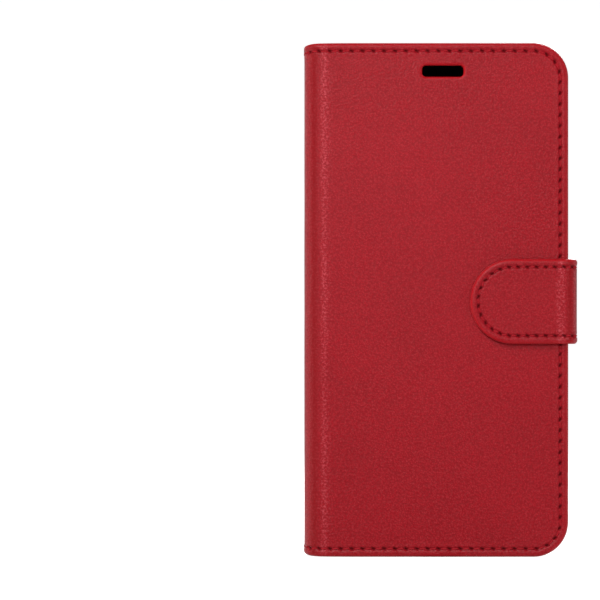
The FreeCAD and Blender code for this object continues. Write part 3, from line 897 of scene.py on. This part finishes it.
# ---- the strap ----
STRAP_Z = (flap_low[2], flap_high[2])
STRAP_R = (STRAP_Z[1] - STRAP_Z[0]) / 2 - 0.01
WELT_LEAST = -0.3           # the strap's profile below this is scaled to its thickness
STRAP_EDGE = [(distance, height if height > WELT_LEAST else height * STRAP / PANEL)
              for distance, height in LEATHER_EDGE]
STRAP_LINING_INSET = 1.1
STRAP_LINING_LEVEL = -STRAP - 0.06
STRAP_LINING_EDGE = [(distance, STRAP_LINING_LEVEL + height) for distance, height in LINING_PROFILE]
STRAP_LINES = lines(
    (2.4, S_STRAP_FRONT - 1, 2.0), (S_STRAP_FRONT - 1, S_STRAP_SIDE + 1, 0.4),
    (S_STRAP_SIDE + 1, S_STRAP_BACK - 1, 1.2), (S_STRAP_BACK - 1, S_STRAP_EXIT + 0.6, 0.4),
)


def strap_level(flat):
    """The slight unevenness of the strap's outer face."""
    return np.where(flat[:, 2] > STRAP_UNDERSIDE, 0.03 * ripple(flat, 9.0, 11.0), 0.0)


def strap_at(s):
    """A place on the strap's outer face, in plan."""
    return strap.place(np.array([[s, 0, 0]]))[0][:2]


strap_pieces = [
    # name, s range, free left, bodies, weight start, weight end, and the nodes its sheets and thread replace
    ("strap_flap", (0.0, S_STRAP_SPLIT), True, "strap_side", "strap_flap",
     strap_at(S_STRAP_SIDE), strap_at(S_STRAP_FRONT),
     ("strap_flap_leather", "strap_front_fold"), ("strap_flap_lining",), ("strap_thread",)),
    ("strap_side", (S_STRAP_SPLIT, S_STRAP_END), False, "phone_side", "strap_side",
     strap_at(S_STRAP_EXIT), strap_at(S_STRAP_BACK),
     ("strap_side_leather", "strap_base_fold"), ("strap_side_lining",), ()),
]
for name, span, left, body_a, body_b, start, end, outer_nodes, lining_nodes, thread_nodes in strap_pieces:
    ride = ((body_a, body_b), start, end)
    leather = build_sheet(span, STRAP_Z, STRAP_R, left, False, STRAP_EDGE, STRAP_LINES,
                          pitch=STRAP_STITCH, level=strap_level)
    leather_piece = make_object(f"{name}_leather_sheet", leather, strap.place, cover_leather, painted_light=strap_painted_light)
    finish_piece(leather_piece, *ride, "cover_leather", outer_nodes)

    inset = (span[0] + left * STRAP_LINING_INSET, span[1])
    z = (STRAP_Z[0] + STRAP_LINING_INSET, STRAP_Z[1] - STRAP_LINING_INSET)
    lining = build_sheet(inset, z, STRAP_R - STRAP_LINING_INSET, left, False, STRAP_LINING_EDGE, STRAP_LINES,
                         pitch=0)
    lining_piece = make_object(f"{name}_lining_sheet", lining, strap.place, lining_leather, flip=True)
    finish_piece(lining_piece, *ride, "lining", lining_nodes)

    stitches = stitches_along(leather.edges, SEAM, STRAP_STITCH, THREAD_LEVEL)
    stitch_piece = make_object(f"{name}_stitches", stitches, strap.place, thread)
    finish_piece(stitch_piece, *ride, "thread", thread_nodes)


# ---- pockets inside the front cover ----
POCKET_THICK = 0.5
POCKET_SEAM = 1.6
POCKET_CORNER = 3.6
POCKET_THREAD_LEVEL = -0.07
POCKET_THREAD_R = 0.2
POCKET_EDGE = [             # (distance in from the edge, height): folded, with a groove for its stitches
    (3.4, 0.0), (2.4, 0.0), (1.95, 0.0), (1.8, -0.05), (1.6, -0.09), (1.4, -0.05), (1.25, 0.01),
    (0.9, 0.03), (0.5, 0.02), (0.22, -0.05), (0.06, -0.16), (0.0, -0.3), (0.04, -0.42), (0.3, -0.46),
]
POCKETS = ("cash_pocket_panel", "card_pocket_1", "card_pocket_2", "card_pocket_3")


def pocket_level(seed):
    """The slight waviness of a pocket, its own for each."""
    def level(flat):
        return 0.04 * ripple(flat, 18.0, seed)
    return level


for number, node in enumerate(POCKETS):
    low, high = extent(node)
    width, height = high[0] - low[0], high[2] - low[2]
    face_y = front_low[1] - LINING_LEVEL + POCKET_THICK * (number + 1)
    pocket_plane = Section((high[0], face_y), math.pi, [("line", width, 0)])
    sheet = build_sheet((0.0, width), (low[2], high[2]), POCKET_CORNER, True, True, POCKET_EDGE,
                        lines((3.4, width, 4.0)), seam=POCKET_SEAM, pitch=STRAP_STITCH,
                        level=pocket_level(5.0 + number))
    pocket = make_object(f"{node}_sheet", sheet, pocket_plane.place, lining_leather)
    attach(pocket, "front_cover")
    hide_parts(node)
    stitches = stitches_along(sheet.edges, POCKET_SEAM, STRAP_STITCH, POCKET_THREAD_LEVEL,
                              radius=POCKET_THREAD_R)
    stitch_piece = make_object(f"{node}_stitches", stitches, pocket_plane.place, thread)
    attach(stitch_piece, "front_cover")
    if node == POCKETS[-1]:
        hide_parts("pocket_thread")


# ---- CAD nodes that stay ----
def dress(node, material):
    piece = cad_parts[node]
    piece.data.materials.clear()
    piece.data.materials.append(material)
    return piece


for node in ("back_board_camera_side", "back_board_spine_side", "spine_board", "front_board"):
    dress(node, board_fibre)
for node in ("front_magnet", "strap_magnet"):
    dress(node, magnet_plating)
dress("tray_glue_pad", glue_film)
dress("strap_anchor_tongue", lining_leather)
tray = dress("phone_tray", tray_polymer)
tray.data.polygons.foreach_set("use_smooth", np.ones(len(tray.data.polygons), bool))
rounding = tray.modifiers.new("soft_edges", "BEVEL")
rounding.width = 0.25 * MM
rounding.segments = 3
rounding.limit_method = "ANGLE"
rounding.angle_limit = math.radians(50)
rounding.harden_normals = True


# ---- studio ----
def room_strength(tree, place, lighting, seen):
    """How bright the white room is: one value where it lights, one in the picture, and in reflections
    bright to the left and right and dim in front and behind."""
    nodes, links = tree.nodes, tree.links
    way = add_node(nodes, "ShaderNodeVectorMath", operation="NORMALIZE")
    links.new(nodes.new("ShaderNodeTexCoord").outputs[place], way.inputs[0])
    parts = nodes.new("ShaderNodeSeparateXYZ")
    links.new(way.outputs[0], parts.inputs[0])
    sideways = add_node(nodes, "ShaderNodeMath", operation="ABSOLUTE")
    links.new(parts.outputs["X"], sideways.inputs[0])
    mirrored = nodes.new("ShaderNodeMapRange")
    for key, value in (("From Min", 0.35), ("From Max", 0.95), ("To Min", 0.0), ("To Max", seen)):
        mirrored.inputs[key].default_value = value
    links.new(sideways.outputs[0], mirrored.inputs["Value"])
    ray = nodes.new("ShaderNodeLightPath")
    glossy = add_node(nodes, "ShaderNodeMix", data_type="FLOAT")
    glossy.inputs[2].default_value = lighting
    links.new(ray.outputs["Is Glossy Ray"], glossy.inputs[0])
    links.new(mirrored.outputs[0], glossy.inputs[3])
    direct = add_node(nodes, "ShaderNodeMix", data_type="FLOAT")
    direct.inputs[3].default_value = seen
    links.new(ray.outputs["Is Camera Ray"], direct.inputs[0])
    links.new(glossy.outputs[0], direct.inputs[2])
    return direct.outputs[0]


FLOOR_RINGS = (             # (radius, height) in metres
    (0.0, 0.0), (0.3, 0.0), (1.0, 0.0), (3.0, 0.0), (5.0, 0.0), (6.0, 0.15), (6.8, 0.7), (7.2, 1.6),
    (7.3, 3.0),
)
FLOOR_SIDES = 96


def make_floor():
    """A pale floor that curves up far away, all round."""
    angles = np.linspace(0, 2 * math.pi, FLOOR_SIDES, endpoint=False)
    verts = [(r * math.cos(a), r * math.sin(a), z) for r, z in FLOOR_RINGS for a in angles]
    mesh = bpy.data.meshes.new("floor")
    faces = ring_faces(FLOOR_SIDES, len(FLOOR_RINGS), True)
    mesh.from_pydata(verts, [], [f[::-1] for f in faces])
    mesh.polygons.foreach_set("use_smooth", np.ones(len(mesh.polygons), bool))
    floor = bpy.data.objects.new("floor", mesh)
    bpy.context.scene.collection.objects.link(floor)
    material, _, links, shader = new_material("floor_white")
    shader.inputs["Base Color"].default_value = (0.55, 0.55, 0.55, 1)
    shader.inputs["Roughness"].default_value = 0.9
    shader.inputs["Specular IOR Level"].default_value = 0.1
    shader.inputs["Emission Color"].default_value = (1.0, 1.0, 1.0, 1)
    links.new(room_strength(material.node_tree, "Object", 0.08, 0.9), shader.inputs["Emission Strength"])
    mesh.materials.append(material)


def make_light(name, place, target, size, power):
    light = bpy.data.lights.new(name, "AREA")
    light.shape = "DISK"
    light.size = size
    light.energy = power
    lamp = bpy.data.objects.new(name, light)
    lamp.location = place
    lamp.visible_camera = False
    lamp.rotation_euler = (Vector(target) - Vector(place)).to_track_quat("-Z", "Y").to_euler()
    bpy.context.scene.collection.objects.link(lamp)


make_floor()
world = bpy.context.scene.world or bpy.data.worlds.new("studio")
bpy.context.scene.world = world
world.use_nodes = True
sky = world.node_tree.nodes["Background"]
sky.inputs["Color"].default_value = (1.0, 1.0, 1.0, 1)
world.node_tree.links.new(room_strength(world.node_tree, "Generated", 0.2, 1.05), sky.inputs["Strength"])
MIDDLE = (0.0, 0.0, 0.076)
LIGHTS = (                  # name, place, width of the disk, power
    ("front_key", (-0.34, -0.60, 0.72), 0.36, 5.7),
    ("front_haze", (-0.16, -0.72, 0.36), 0.16, 3.0),
    ("front_fill", (0.8, -1.1, 0.30), 0.36, 0.9),
    ("back_key", (0.34, 0.60, 0.72), 0.36, 5.7),
    ("back_haze", (0.16, 0.72, 0.36), 0.16, 3.0),
    ("back_fill", (-0.8, 1.1, 0.30), 0.36, 0.9),
    ("left_side", (-1.2, 0.0, 0.15), 0.36, 2.4),
    ("right_side", (1.2, 0.0, 0.15), 0.36, 2.4),
)
for name, place, size, power in LIGHTS:
    make_light(name, place, MIDDLE, size, power)
bpy.context.scene.view_settings.view_transform = "Standard"
bpy.context.scene.view_settings.look = "None"

VIEW_WIDTH = 177.4 * MM     # what the picture spans at the front cover
VIEW_DISTANCE = 1.5
VIEW_X = -41.6 * MM         # the case stands in the right half of the picture, as in the photograph
SENSOR = 36.0
camera_data = bpy.data.cameras.new("camera")
camera_data.sensor_width = SENSOR
camera_data.lens = SENSOR * VIEW_DISTANCE / VIEW_WIDTH
camera_data.clip_start = 0.05
camera_data.clip_end = 30.0
camera = bpy.data.objects.new("camera", camera_data)
camera.location = (VIEW_X, front_low[1] * MM - VIEW_DISTANCE, HEIGHT / 2 * MM)
camera.rotation_euler = (math.pi / 2, 0, 0)
bpy.context.scene.collection.objects.link(camera)
bpy.context.scene.camera = camera
